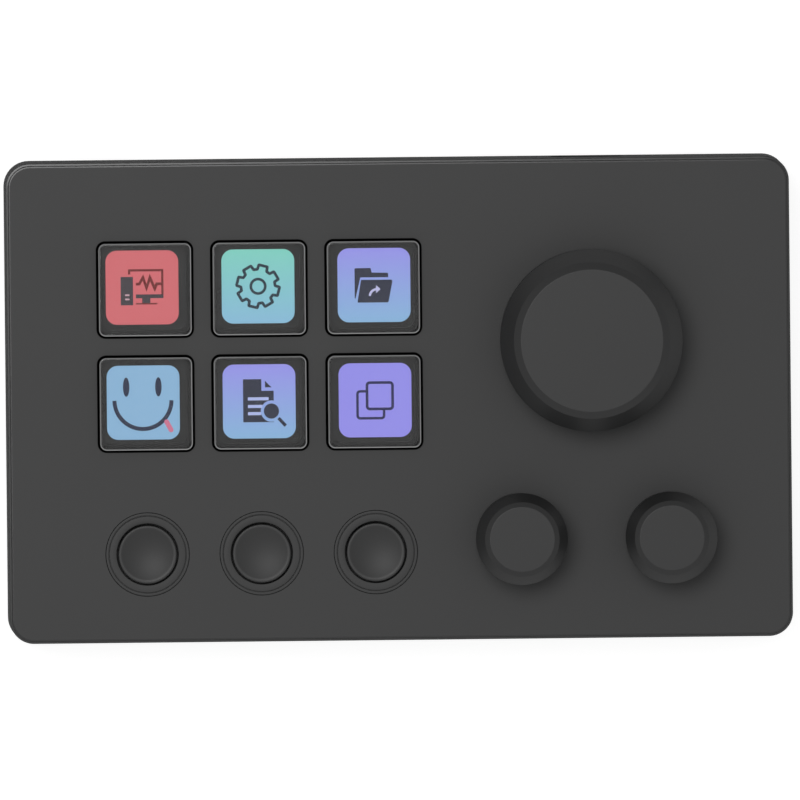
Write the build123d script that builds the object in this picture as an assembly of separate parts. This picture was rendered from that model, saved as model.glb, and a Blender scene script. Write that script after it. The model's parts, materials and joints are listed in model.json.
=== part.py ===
from build123d import *
import math
import os

# Macro keypad: six picture keys, three round buttons and three push dials in a
# flat case. Millimetres, with X to the right, Y to the rear and Z up. The
# origin is on the table, under the middle of the case.

# Case. The corner radius is that of the face.
case_corner_radius = 4.0
case_draft = 0.78
wall_thickness = 1.8
base_thickness = 1.8
base_wall_height = 4.0
base_edge_radius = 0.8
rim_width = 0.36
rim_slope_drop = 0.06
rim_edge_radius = 0.1
deck_thickness = 1.5
lip_height = 1.2
lip_thickness = 0.9
lip_gap = 0.1
smallest_radius = 0.5
seam_gap = 0.2
seam_inset = 0.2

# Faceplate, which lies in the rim of the case and stands a little above it.
plate_thickness = 1.2
plate_gap = 0.06
plate_proud = 0.25
plate_slope_width = 0.26
plate_slope_drop = 0.035
plate_edge_radius = 0.1
opening_chamfer = 0.06

# Layout of the face. The case is as long and as deep as these and the screen need.
bracket_side_gap = 0.2
bracket_rear_gap = 2.94
button_row_gap = 25.15
front_margin = 14.74
dial_spacing = 55.11
dial_margin = 33.51
large_dial_rise = 0.52
small_dial_rise = 2.17
small_dial_shift = 0.6
small_dial_spread = 12.48

# Rubber feet.
foot_drop = 1.0
foot_recess = 0.6
foot_radius = 5.0
foot_gap = 0.1
foot_edge_radius = 0.3
foot_inset_x = 11.5
foot_inset_y = 11.0

# Room between the layers.
sheet_gap = 0.1
stop_gap = 0.02
under_screen_room = 1.6

# Main board on its posts.
board_post_height = 2.0
board_post_radius = 2.5
board_post_inset_x = 23.5
board_post_inset_y = 7.55
board_thickness = 1.6
board_side_gap = 3.7
board_wall_gap = 1.3
board_notch_gap = 1.0
board_corner_radius = 1.5

# Screws. A thread is drawn as its plain outer cylinder.
shank_radius = 1.0
shank_hole_radius = 1.1
thread_fit = 0.02
head_radius = 1.9
head_height = 1.2
head_gap = 0.3
cross_length = 2.2
cross_width = 0.5
cross_depth = 0.7
case_screw_length = 8.0
case_screw_seat = 1.6
case_screw_inset = 5.2
inner_screw_length = 4.5
pilot_end_room = 0.2
screw_pad_height = 1.9
screw_pad_radius = 3.2
screw_post_radius = 2.3

# Keys, three columns by two rows.
key_columns = 3
key_rows = 2
key_pitch = 19.05
key_size = 15.6
key_corner_radius = 1.2
key_gap = 0.29
key_proud = 1.2
key_edge_radius = 0.4
key_flange_thickness = 1.0
key_flange_width = 0.9
key_travel = 1.0
window_size = 13.8
window_radius = 1.5
collar_squeezed_height = 1.0
collar_wall = 1.0
collar_inset = 0.4

# Key contact board and silicone membrane, with one window per key.
contact_board_thickness = 0.8
contact_board_margin = 1.0
membrane_thickness = 0.5
membrane_margin = 2.0

# Screen module and the bracket under it.
screen_length = 69.2
screen_depth = 50.2
screen_thickness = 2.5
screen_corner_radius = 0.8
screen_wall = 0.4
screen_floor = 0.3
screen_gap = 0.05
glass_thickness = 1.05
bracket_thickness = 1.0
bracket_rim_height = 0.8
bracket_rim_width = 0.8
bracket_corner_radius = 1.2
bracket_post_radius = 2.0
bracket_post_offset = 3.0
bracket_post_spread = 15.0
bracket_tab_radius = 2.5
bracket_post_gap = 0.3

# Flat cable from the screen, folded under the bracket to its connector.
flex_width = 24.0
flex_thickness = 0.2
flex_rise = 0.6
flex_reach = 1.2
flex_run = 6.0
flex_slot_gap = 1.0
connector_depth = 4.0
connector_height = 1.2

# Chips on the board, as length, depth, height and the way from the middle of the keys.
chip_list = [
    (10.0, 10.0, 1.2, -4.7, -1.42),
    (6.0, 5.0, 1.0, 15.3, 4.58),
    (3.2, 2.5, 0.8, -4.7, 10.58),
    (6.5, 3.5, 1.4, 29.3, 20.58),
    (4.0, 4.0, 1.0, 45.3, 20.58),
]
chip_edge = 0.2

# USB-C socket in the rear wall.
usb_width = 8.94
usb_height = 3.26
usb_depth = 7.3
usb_wall = 0.3
usb_back = 1.2
usb_tongue_width = 6.65
usb_tongue_height = 0.7
usb_tongue_length = 4.6
usb_opening_gap = 0.25
usb_recess_width = 12.4
usb_recess_height = 5.8
usb_recess_depth = 0.8
usb_recess_radius = 2.8

# Round buttons and their bezels.
button_radius = 4.86
button_gap = 0.28
button_proud = 0.8
button_dish_radius = 4.4
button_dish_depth = 0.65
button_edge_radius = 0.2
button_flange_radius = 6.3
button_flange_thickness = 1.0
button_stem_radius = 2.0
button_deck_gap = 0.5
button_travel = 0.5
bezel_radius = 6.95
bezel_fit = 0.04
bezel_groove_radius = 6.42
bezel_groove_width = 0.16
bezel_groove_depth = 0.3
bezel_edge_radius = 0.1

# Switch under each round button.
switch_size = 6.0
switch_height = 3.5
switch_corner_radius = 0.5
switch_floor = 0.6
switch_lead_width = 0.7
switch_lead_reach = 0.8
switch_lead_height = 0.3
switch_lead_spread = 2.2
plunger_radius = 1.7
plunger_top_height = 6.1
plunger_fit = 0.06
switch_dome_pressed = 0.1
switch_dome_radius = 1.4
switch_dome_wall = 0.1

# Dials. Each is a knob on the D-shaped shaft of a push encoder.
dial_travel = 0.5
dial_end_gap = 0.3
shaft_radius = 3.0
shaft_flat = 1.5
shaft_fit = 0.04
knob_fit = 0.02
encoder_size = 11.6
encoder_corner_radius = 0.6
encoder_base_height = 6.0
encoder_floor = 1.2
encoder_dome_pressed = 0.3
encoder_dome_radius = 2.4
encoder_dome_wall = 0.15
encoder_dome_gap = 0.4
rotor_radius = 4.4
rotor_height = 2.9
rotor_gap = 0.1
rotor_seat_room = 0.7
rotor_groove_count = 15
rotor_groove_radius = 0.35
cover_thickness = 0.5
cover_leg_width = 6.0
bushing_radius = 3.5
bushing_recess = 0.4
bushing_gap = 0.15
pin_radius = 0.4
pin_hole_radius = 0.5
pin_reach = 0.9
pin_spacing = 2.5
pin_row = 4.6

# Large knob: radii of the flat top, the first bevel and the body.
large_top_radius = 11.85
large_edge_radius = 13.0
large_knob_radius = 15.2
large_edge_drop = 0.6
large_side_drop = 2.8
large_knob_height = 12.0
large_knob_wall = 1.8
large_rib_count = 6

# Small knobs, with the same shape.
small_top_radius = 5.4
small_edge_radius = 6.2
small_knob_radius = 7.65
small_edge_drop = 0.45
small_side_drop = 1.9
small_knob_height = 10.0
small_knob_wall = 1.2
small_rib_count = 3

# Shared by both knob sizes.
knob_roof = 1.4
knob_boss_wall = 1.3
knob_rib_width = 1.0
knob_soft_edge = 0.25
knob_foot_edge = 0.3
knob_foot_inset = 0.2

# Cutters run past the faces they cut by this much.
over = 1.0

# Heights that a press uses up.
collar_height = collar_squeezed_height + key_travel
switch_dome_height = switch_dome_pressed + button_travel
encoder_dome_height = encoder_dome_pressed + dial_travel
dial_gap = dial_end_gap + dial_travel

# Places on the face, with the origin in the middle of the case.
bracket_rim = screen_gap + bracket_rim_width
bracket_reach = screen_length / 2 + bracket_post_offset + bracket_tab_radius
key_margin_x = wall_thickness + bracket_side_gap + bracket_reach
key_margin_y = wall_thickness + bracket_rear_gap + bracket_rim + screen_depth / 2
key_row_reach = (key_rows - 1) * key_pitch / 2
case_length = key_margin_x + dial_spacing + dial_margin
case_depth = key_margin_y + key_row_reach + button_row_gap + front_margin
key_field_x = key_margin_x - case_length / 2
key_field_y = case_depth / 2 - key_margin_y
button_row_y = front_margin - case_depth / 2
large_dial_x = key_field_x + dial_spacing
large_dial_y = key_field_y + large_dial_rise
small_dial_x = large_dial_x + small_dial_shift
small_dial_y = button_row_y + small_dial_rise
usb_x = large_dial_x

# Levels, from the table to the face.
base_z = foot_drop
base_top_z = base_z + base_thickness
parting_z = base_z + base_wall_height
board_z = base_top_z + board_post_height
board_top_z = board_z + board_thickness
bracket_z = board_top_z + under_screen_room
screen_z = bracket_z + bracket_thickness
screen_top_z = screen_z + screen_thickness
contact_board_z = screen_top_z + sheet_gap
membrane_z = contact_board_z + contact_board_thickness
collar_z = membrane_z + membrane_thickness
key_flange_z = collar_z + collar_height
deck_z = key_flange_z + key_flange_thickness + stop_gap
deck_top_z = deck_z + deck_thickness
face_z = deck_top_z + plate_thickness
rim_z = face_z - plate_proud
case_spread = (rim_z - base_z) * math.tan(math.radians(case_draft))

# Sizes that follow from the others.
key_opening = key_size + 2 * key_gap
key_opening_radius = key_corner_radius + key_gap
key_flange_size = key_size + 2 * key_flange_width
key_field_length = (key_columns - 1) * key_pitch + key_flange_size
key_field_depth = (key_rows - 1) * key_pitch + key_flange_size
button_hole_radius = button_radius + button_gap
bezel_hole_radius = bezel_radius + bezel_fit
bushing_hole_radius = bushing_radius + bushing_gap
pilot_radius = shank_radius + thread_fit
screw_post_z = base_top_z + screw_pad_height + sheet_gap

on_base = (Align.CENTER, Align.CENTER, Align.MIN)


def corners(half_x, half_y, x=0.0, y=0.0):
    # the four corners of a rectangle about x, y
    return [(x + side * half_x, y + end * half_y) for side in (-1, 1) for end in (-1, 1)]


key_spots = [
    (
        key_field_x + (column - (key_columns - 1) / 2) * key_pitch,
        key_field_y - (row - (key_rows - 1) / 2) * key_pitch,
    )
    for row in range(key_rows)
    for column in range(key_columns)
]
button_spots = {
    "left": (key_field_x - key_pitch, button_row_y),
    "middle": (key_field_x, button_row_y),
    "right": (key_field_x + key_pitch, button_row_y),
}
dial_spots = {
    "large": (large_dial_x, large_dial_y),
    "left": (small_dial_x - small_dial_spread, small_dial_y),
    "right": (small_dial_x + small_dial_spread, small_dial_y),
}
foot_spots = corners(case_length / 2 - foot_inset_x, case_depth / 2 - foot_inset_y)
case_screw_spots = corners(case_length / 2 - case_screw_inset, case_depth / 2 - case_screw_inset)
board_post_spots = corners(
    case_length / 2 - board_post_inset_x, case_depth / 2 - board_post_inset_y
)
bracket_post_spots = corners(
    screen_length / 2 + bracket_post_offset, bracket_post_spread, key_field_x, key_field_y
)


def block(length, depth, height, x=0.0, y=0.0, z=0.0):
    return Pos(x, y, z) * Box(length, depth, height, align=on_base)


def disc(radius, height, x=0.0, y=0.0, z=0.0):
    return Pos(x, y, z) * Cylinder(radius, height, align=on_base)


def tile(length, depth, radius, height, x=0.0, y=0.0, z=0.0):
    # a plate with rounded corners
    return Pos(x, y, z) * extrude(RectangleRounded(length, depth, radius), height)


def case_tile(inset, height, z):
    # the outline of the face, moved in by inset
    radius = max(case_corner_radius - inset, smallest_radius)
    return tile(case_length - 2 * inset, case_depth - 2 * inset, radius, height, z=z)


def dome(radius, height, wall, x, y, z):
    # a thin snap dome that stands on z
    ball = (radius**2 + height**2) / (2 * height)
    centre_z = z + height - ball
    shell = Pos(x, y, centre_z) * (Sphere(ball) - Sphere(ball - wall))
    return shell & disc(2 * radius, height, x, y, z)


def d_post(radius, flat, height, x, y, z):
    # a round post with one flat that faces +X
    post = disc(radius, height, x, y, z)
    return post - block(radius, 2 * radius, height, x + flat + radius / 2, y, z)


def screw(length, x, y, seat_z, points_up):
    # head, shank and cross recess, pointing up or down from its seat
    head = disc(head_radius, head_height, z=-head_height)
    bar = block(cross_length, cross_width, cross_depth, z=-head_height)
    cross = bar + Rot(0, 0, 90) * bar
    body = head + disc(shank_radius, length) - cross
    if not points_up:
        body = Rot(180, 0, 0) * body
    return Pos(x, y, seat_z) * body


def sloped(form, width, drop, edge_radius):
    # the edge of the top face falls gently outwards and ends in a small radius
    top_face = form.faces().sort_by(Axis.Z)[-1]
    low_z = top_face.center().Z - drop
    form = chamfer(top_face.edges(), width, drop, reference=top_face)
    level = form.edges().filter_by_position(Axis.Z, low_z - drop / 2, low_z + drop / 2)
    return fillet(level, edge_radius)


def case_form():
    # the closed case, narrowing upwards by its draft
    outline = RectangleRounded(
        case_length + 2 * case_spread,
        case_depth + 2 * case_spread,
        case_corner_radius + case_spread,
    )
    form = Pos(0, 0, base_z) * extrude(outline, rim_z - base_z, taper=case_draft)
    form = fillet(form.faces().sort_by(Axis.Z)[0].edges(), base_edge_radius)
    return sloped(form, rim_width + plate_gap, rim_slope_drop, rim_edge_radius)


def half_space(low_z, high_z):
    return block(2 * case_length, 2 * case_depth, high_z - low_z, z=low_z)


def bottom_shell():
    shell = case_form() & half_space(base_z, parting_z)
    shell += case_tile(wall_thickness + lip_gap, lip_height + sheet_gap, parting_z - sheet_gap)
    inner = wall_thickness + lip_gap + lip_thickness
    shell -= case_tile(inner, base_wall_height + lip_height, base_top_z)
    for x, y in case_screw_spots:
        shell += disc(screw_pad_radius, screw_pad_height, x, y, base_top_z)
    for x, y in board_post_spots:
        shell += disc(board_post_radius, board_post_height, x, y, base_top_z)
    for x, y in case_screw_spots:
        shell -= disc(shank_hole_radius, 2 * base_wall_height, x, y, base_z - over)
        shell -= disc(head_radius + head_gap, case_screw_seat + over, x, y, base_z - over)
    pilot_depth = inner_screw_length - board_thickness + pilot_end_room
    for x, y in board_post_spots:
        shell -= disc(pilot_radius, pilot_depth, x, y, board_z - pilot_depth)
    for x, y in foot_spots:
        shell -= disc(foot_radius + foot_gap, foot_recess + over, x, y, base_z - over)
    return shell


usb_z = board_top_z + usb_height / 2
wall_lean = (rim_z - usb_z) * math.tan(math.radians(case_draft))
usb_recess_y = case_depth / 2 + wall_lean - usb_recess_depth
usb_mouth_y = usb_recess_y - sheet_gap


def usb_bar(outline, y, depth):
    # a bar of the given outline that starts at y and runs forward
    return Pos(usb_x, y, usb_z) * extrude(Plane.XZ * outline, depth)


def top_case():
    shell = case_form() & half_space(parting_z, rim_z + over)
    seam_core = case_tile(seam_inset, seam_gap, parting_z)
    shell -= half_space(parting_z, parting_z + seam_gap) - seam_core
    shell -= case_tile(wall_thickness, deck_z - parting_z + over, parting_z - over)
    shell -= case_tile(rim_width, plate_thickness + over, deck_top_z)
    through = deck_thickness + 2 * over
    for x, y in key_spots:
        shell -= tile(key_opening, key_opening, key_opening_radius, through, x, y, deck_z - over)
    for x, y in button_spots.values():
        shell -= disc(button_hole_radius + button_deck_gap, through, x, y, deck_z - over)
    for x, y in dial_spots.values():
        shell -= disc(bushing_hole_radius, through, x, y, deck_z - over)
    gusset_z = parting_z + lip_height + sheet_gap
    gusset = case_screw_inset - wall_thickness + sheet_gap
    for x, y in case_screw_spots:
        shell += disc(screw_post_radius, deck_z - screw_post_z, x, y, screw_post_z)
        side = math.copysign(gusset / 2, x)
        end = math.copysign(gusset / 2, y)
        shell += block(gusset, gusset, deck_z - gusset_z, x + side, y + end, gusset_z)
    pilot_top_z = base_z + case_screw_seat + case_screw_length + pilot_end_room
    for x, y in case_screw_spots:
        shell -= disc(pilot_radius, pilot_top_z - screw_post_z + over, x, y, screw_post_z - over)
    bracket_pilot = inner_screw_length - bracket_thickness + pilot_end_room
    for x, y in bracket_post_spots:
        shell += disc(bracket_post_radius, deck_z - screen_z, x, y, screen_z)
        shell -= disc(pilot_radius, bracket_pilot, x, y, screen_z)
    opening = SlotOverall(usb_width + 2 * usb_opening_gap, usb_height + 2 * usb_opening_gap)
    recess = RectangleRounded(usb_recess_width, usb_recess_height, usb_recess_radius)
    outside_y = case_depth / 2 + case_spread + over
    shell -= usb_bar(opening, outside_y, case_spread + wall_thickness + 2 * over)
    shell -= usb_bar(recess, outside_y, outside_y - usb_recess_y)
    return shell


def faceplate():
    plate = case_tile(rim_width + plate_gap, plate_thickness, deck_top_z)
    plate = sloped(plate, plate_slope_width, plate_slope_drop, plate_edge_radius)
    through = plate_thickness + 2 * over
    for x, y in key_spots:
        plate -= tile(key_opening, key_opening, key_opening_radius, through, x, y, deck_top_z - over)
    for x, y in button_spots.values():
        plate -= disc(bezel_hole_radius, through, x, y, deck_top_z - over)
    for x, y in dial_spots.values():
        plate -= disc(bushing_hole_radius, through, x, y, deck_top_z - over)
    top_face = plate.faces().sort_by(Axis.Z)[-1]
    opening_edges = [edge for wire in top_face.inner_wires() for edge in wire.edges()]
    return chamfer(opening_edges, opening_chamfer)


def rubber_feet():
    feet = []
    for x, y in foot_spots:
        foot = disc(foot_radius, foot_drop + foot_recess, x, y)
        low_edge = foot.edges().sort_by(Axis.Z)[0]
        feet.append(fillet(low_edge, foot_edge_radius))
    return feet


def case_screws():
    seat_z = base_z + case_screw_seat
    return [screw(case_screw_length, x, y, seat_z, True) for x, y in case_screw_spots]


def inner_screws():
    screws = [screw(inner_screw_length, x, y, board_top_z, False) for x, y in board_post_spots]
    screws += [screw(inner_screw_length, x, y, bracket_z, True) for x, y in bracket_post_spots]
    return screws


def pin_spots(x, y):
    # three turn contacts in front of the dial and two push contacts behind it
    front = [(x + step * pin_spacing, y - pin_row) for step in (-1, 0, 1)]
    rear = [(x + step * pin_spacing, y + pin_row) for step in (-1, 1)]
    return front + rear


def main_board():
    length = case_length - 2 * (wall_thickness + board_side_gap)
    depth = case_depth - 2 * (wall_thickness + board_wall_gap)
    board = tile(length, depth, board_corner_radius, board_thickness, z=board_z)
    for x, y in case_screw_spots:
        notch = screw_post_radius + board_notch_gap
        board -= disc(notch, board_thickness, x, y, board_z)
        side = math.copysign(notch, x)
        end = math.copysign(notch, y)
        board -= block(2 * notch, 2 * notch, board_thickness, x + side, y, board_z)
        board -= block(2 * notch, 2 * notch, board_thickness, x, y + end, board_z)
    for x, y in board_post_spots:
        board -= disc(shank_hole_radius, board_thickness, x, y, board_z)
    for x, y in dial_spots.values():
        for pin_x, pin_y in pin_spots(x, y):
            board -= disc(pin_hole_radius, board_thickness, pin_x, pin_y, board_z)
    return board


flex_top_z = screen_top_z - flex_rise
flex_low_z = board_top_z + connector_height / 2
flex_bend = (flex_top_z - flex_low_z) / 2
flex_start_y = key_field_y - screen_depth / 2
flex_bend_y = flex_start_y - flex_reach
connector_y = flex_bend_y + flex_run


def board_components():
    chips = []
    for length, depth, height, step_x, step_y in chip_list:
        chip = block(
            length, depth, height, key_field_x + step_x, key_field_y + step_y, board_top_z
        )
        chips.append(chamfer(chip.faces().sort_by(Axis.Z)[-1].edges(), chip_edge))
    connector = block(
        flex_width + 2 * flex_slot_gap,
        connector_depth,
        connector_height,
        key_field_x,
        connector_y + connector_depth / 2,
        board_top_z,
    )
    chips.append(connector)
    return chips


def screen_flex():
    # a flat strip: forward, half a turn down and back to the connector
    outer = flex_bend + flex_thickness / 2
    inner = flex_bend - flex_thickness / 2
    bend = Circle(outer) - Circle(inner) - Pos(outer, 0) * Rectangle(2 * outer, 2 * outer)
    upper = Pos(flex_reach / 2, flex_bend) * Rectangle(flex_reach, flex_thickness)
    lower = Pos(flex_run / 2, -flex_bend) * Rectangle(flex_run, flex_thickness)
    profile = Plane.YZ * (bend + upper + lower)
    strip = extrude(profile, flex_width)
    return Pos(key_field_x - flex_width / 2, flex_bend_y, flex_low_z + flex_bend) * strip


def screen_bracket():
    length = screen_length + 2 * bracket_rim
    depth = screen_depth + 2 * bracket_rim
    height = bracket_thickness + bracket_rim_height
    x = key_field_x
    y = key_field_y
    plate = tile(length, depth, bracket_corner_radius, height, x, y, bracket_z)
    plate -= block(
        screen_length + 2 * screen_gap, screen_depth + 2 * screen_gap, height, x, y, screen_z
    )
    for post_x, post_y in bracket_post_spots:
        reach = bracket_post_offset
        side = math.copysign(reach / 2, post_x - x)
        plate += disc(bracket_tab_radius, bracket_thickness, post_x, post_y, bracket_z)
        plate += block(
            reach, 2 * bracket_tab_radius, bracket_thickness, post_x - side, post_y, bracket_z
        )
        plate -= disc(shank_hole_radius, bracket_thickness, post_x, post_y, bracket_z)
    for post_x, post_y in case_screw_spots:
        plate -= disc(screw_post_radius + bracket_post_gap, height, post_x, post_y, bracket_z)
    slot_width = flex_width + 2 * flex_slot_gap
    slot_depth = 2 * (bracket_rim + flex_slot_gap)
    plate -= block(slot_width, slot_depth, height, x, y - depth / 2, bracket_z)
    return plate


def screen_frame():
    x = key_field_x
    y = key_field_y
    frame = tile(
        screen_length, screen_depth, screen_corner_radius, screen_thickness, x, y, screen_z
    )
    return frame - block(
        screen_length - 2 * screen_wall,
        screen_depth - 2 * screen_wall,
        screen_thickness,
        x,
        y,
        screen_z + screen_floor,
    )


def screen_layer(height, z):
    inset = screen_wall + screen_gap
    return block(
        screen_length - 2 * inset, screen_depth - 2 * inset, height, key_field_x, key_field_y, z
    )


glass_z = screen_top_z - screen_gap - glass_thickness
backlight_z = screen_z + screen_floor
backlight_thickness = glass_z - backlight_z


def windowed_sheet(margin, thickness, z):
    # a sheet as large as the key field and its margin, with a window per key
    sheet = tile(
        key_field_length + 2 * margin,
        key_field_depth + 2 * margin,
        window_radius,
        thickness,
        key_field_x,
        key_field_y,
        z,
    )
    for x, y in key_spots:
        sheet -= tile(window_size, window_size, window_radius, thickness, x, y, z)
    return sheet


def key_cap(x, y):
    height = face_z + key_proud - key_flange_z
    cap = tile(key_size, key_size, key_corner_radius, height, x, y, key_flange_z)
    cap = fillet(cap.faces().sort_by(Axis.Z)[-1].edges(), key_edge_radius)
    flange_radius = key_corner_radius + key_flange_width
    return cap + tile(
        key_flange_size, key_flange_size, flange_radius, key_flange_thickness, x, y, key_flange_z
    )


def key_collar(x, y):
    outer = key_flange_size - 2 * collar_inset
    inner = outer - 2 * collar_wall
    outer_radius = key_corner_radius + collar_wall
    ring = tile(outer, outer, outer_radius, collar_height, x, y, collar_z)
    return ring - tile(inner, inner, key_corner_radius, collar_height, x, y, collar_z)


def button_bezels():
    rings = []
    for x, y in button_spots.values():
        ring = disc(bezel_radius, plate_thickness, x, y, deck_top_z)
        top_edge = ring.edges().sort_by(Axis.Z)[-1]
        ring = fillet(top_edge, bezel_edge_radius)
        ring -= disc(button_hole_radius, plate_thickness, x, y, deck_top_z)
        groove_z = face_z - bezel_groove_depth
        outer = bezel_groove_radius + bezel_groove_width / 2
        inner = bezel_groove_radius - bezel_groove_width / 2
        groove = disc(outer, bezel_groove_depth, x, y, groove_z)
        groove -= disc(inner, bezel_groove_depth, x, y, groove_z)
        rings.append(ring - groove)
    return rings


plunger_top_z = board_top_z + plunger_top_height
plunger_low_z = board_top_z + switch_floor + switch_dome_height
button_top_z = face_z + button_proud
button_flange_z = deck_z - stop_gap - button_flange_thickness


def button_cap(x, y):
    cap = disc(button_radius, button_top_z - button_flange_z, x, y, button_flange_z)
    top_edge = cap.edges().sort_by(Axis.Z)[-1]
    cap = fillet(top_edge, button_edge_radius)
    ball = (button_dish_radius**2 + button_dish_depth**2) / (2 * button_dish_depth)
    cap -= Pos(x, y, button_top_z - button_dish_depth + ball) * Sphere(ball)
    cap += disc(button_flange_radius, button_flange_thickness, x, y, button_flange_z)
    cap += disc(button_stem_radius, button_flange_z - plunger_top_z, x, y, plunger_top_z)
    return cap


def switch_plunger(x, y):
    return disc(plunger_radius, plunger_top_z - plunger_low_z, x, y, plunger_low_z)


def switch_dome(x, y):
    z = board_top_z + switch_floor
    return dome(switch_dome_radius, switch_dome_height, switch_dome_wall, x, y, z)


def switch_body(x, y):
    body = tile(
        switch_size, switch_size, switch_corner_radius, switch_height, x, y, board_top_z
    )
    lead = switch_size + 2 * switch_lead_reach
    for side in (-1, 1):
        lead_y = y + side * switch_lead_spread
        body += block(lead, switch_lead_width, switch_lead_height, x, lead_y, board_top_z)
    cavity_z = board_top_z + switch_floor
    return body - disc(plunger_radius + plunger_fit, switch_height, x, y, cavity_z)


cover_z = board_top_z + encoder_base_height
cover_top_z = cover_z + cover_thickness
encoder_floor_z = board_top_z + encoder_floor
shaft_low_z = encoder_floor_z + encoder_dome_height
rotor_z = shaft_low_z + rotor_seat_room
dial_z = face_z + dial_gap


def encoder_base(x, y):
    base = tile(
        encoder_size, encoder_size, encoder_corner_radius, encoder_base_height, x, y, board_top_z
    )
    base -= disc(shaft_radius + encoder_dome_gap, encoder_base_height, x, y, encoder_floor_z)
    base -= disc(rotor_radius + rotor_gap, encoder_base_height, x, y, rotor_z - rotor_gap)
    for pin_x, pin_y in pin_spots(x, y):
        pin_length = board_thickness + pin_reach
        base += disc(pin_radius, pin_length, pin_x, pin_y, board_top_z - pin_length)
    return base


def encoder_cover(x, y):
    length = encoder_size + 2 * cover_thickness
    cover = block(length, encoder_size, cover_thickness, x, y, cover_z)
    for side in (-1, 1):
        leg_x = x + side * (encoder_size + cover_thickness) / 2
        cover += block(
            cover_thickness, cover_leg_width, cover_top_z - board_top_z, leg_x, y, board_top_z
        )
    bushing_top_z = face_z - bushing_recess
    cover += disc(bushing_radius, bushing_top_z - cover_z, x, y, cover_z)
    return cover - disc(shaft_radius + shaft_fit, bushing_top_z - cover_z, x, y, cover_z)


def encoder_rotor(x, y):
    rotor = disc(rotor_radius, rotor_height, x, y, rotor_z)
    for step in range(rotor_groove_count):
        angle = 2 * math.pi * step / rotor_groove_count
        groove_x = x + rotor_radius * math.cos(angle)
        groove_y = y + rotor_radius * math.sin(angle)
        rotor -= disc(rotor_groove_radius, rotor_height, groove_x, groove_y, rotor_z)
    return rotor - d_post(
        shaft_radius + shaft_fit, shaft_flat + shaft_fit, rotor_height, x, y, rotor_z
    )


def encoder_shaft(x, y, knob_height):
    top_z = dial_z + knob_height - knob_roof - knob_fit
    return d_post(shaft_radius, shaft_flat, top_z - shaft_low_z, x, y, shaft_low_z)


def encoder_dome(x, y):
    return dome(
        encoder_dome_radius, encoder_dome_height, encoder_dome_wall, x, y, encoder_floor_z
    )


def knob(x, y, top_radius, edge_radius, radius, edge_drop, side_drop, height, wall, rib_count):
    top = height
    outline = Polyline(
        (0, top),
        (top_radius, top),
        (edge_radius, top - edge_drop),
        (radius, top - edge_drop - side_drop),
        (radius - knob_foot_inset, 0),
        (0, 0),
        close=True,
    )
    body = revolve(Plane.XZ * make_face(outline), Axis.Z)
    soft = body.edges().filter_by(GeomType.CIRCLE).group_by(Axis.Z)
    body = fillet(soft[-1] + soft[-2] + soft[-3], knob_soft_edge)
    foot = body.edges().filter_by(GeomType.CIRCLE).group_by(Axis.Z)[0]
    body = fillet(foot, knob_foot_edge)
    cavity_radius = radius - wall
    cavity_height = top - edge_drop - side_drop - knob_roof
    boss_radius = shaft_radius + knob_boss_wall
    hollow = disc(cavity_radius, cavity_height) - disc(boss_radius, cavity_height)
    for step in range(rib_count):
        reach = (boss_radius + cavity_radius) / 2
        rib = block(cavity_radius, knob_rib_width, cavity_height, reach)
        hollow -= Rot(0, 0, 360 * step / rib_count) * rib
    body -= hollow
    bore_height = top - knob_roof
    body -= d_post(shaft_radius + knob_fit, shaft_flat + knob_fit, bore_height, 0, 0, 0)
    return Pos(x, y, dial_z) * body


def large_knob(x, y):
    return knob(
        x,
        y,
        large_top_radius,
        large_edge_radius,
        large_knob_radius,
        large_edge_drop,
        large_side_drop,
        large_knob_height,
        large_knob_wall,
        large_rib_count,
    )


def small_knob(x, y):
    return knob(
        x,
        y,
        small_top_radius,
        small_edge_radius,
        small_knob_radius,
        small_edge_drop,
        small_side_drop,
        small_knob_height,
        small_knob_wall,
        small_rib_count,
    )


def usb_socket_shell():
    outer = SlotOverall(usb_width, usb_height)
    inner = SlotOverall(usb_width - 2 * usb_wall, usb_height - 2 * usb_wall)
    shell = usb_bar(outer, usb_mouth_y, usb_depth)
    return shell - usb_bar(inner, usb_mouth_y, usb_depth - usb_wall)


def usb_socket_tongue():
    inner = SlotOverall(usb_width - 2 * usb_wall, usb_height - 2 * usb_wall)
    tongue = Rectangle(usb_tongue_width, usb_tongue_height)
    end_y = usb_mouth_y - usb_depth + usb_wall
    back = usb_bar(inner, end_y + usb_back, usb_back)
    length = usb_back + usb_tongue_length
    return back + usb_bar(tongue, end_y + length, length)


def save(name, shape):
    # one file per piece, or per set of like pieces
    if isinstance(shape, list):
        shape = Compound(children=shape)
    shape.label = name
    export_step(shape, os.path.join("parts", name + ".step"))


def build_case():
    save("bottom_shell", bottom_shell())
    save("top_case", top_case())
    save("faceplate", faceplate())
    save("rubber_feet", rubber_feet())
    save("case_screws", case_screws())
    save("inner_screws", inner_screws())


def build_electronics():
    save("main_board", main_board())
    save("board_components", board_components())
    save("usb_socket_shell", usb_socket_shell())
    save("usb_socket_tongue", usb_socket_tongue())
    save("screen_bracket", screen_bracket())
    save("screen_frame", screen_frame())
    save("screen_backlight", screen_layer(backlight_thickness, backlight_z))
    save("screen_glass", screen_layer(glass_thickness, glass_z))
    save("screen_flex", screen_flex())
    save(
        "key_contact_board",
        windowed_sheet(contact_board_margin, contact_board_thickness, contact_board_z),
    )


def build_keys():
    save("key_membrane", windowed_sheet(membrane_margin, membrane_thickness, membrane_z))
    for number, (x, y) in enumerate(key_spots, start=1):
        save(f"key_cap_{number}", key_cap(x, y))
        save(f"key_collar_{number}", key_collar(x, y))


def build_buttons():
    save("button_bezels", button_bezels())
    for name, (x, y) in button_spots.items():
        save(f"button_cap_{name}", button_cap(x, y))
        save(f"switch_plunger_{name}", switch_plunger(x, y))
        save(f"switch_dome_{name}", switch_dome(x, y))
        save(f"switch_body_{name}", switch_body(x, y))


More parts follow.
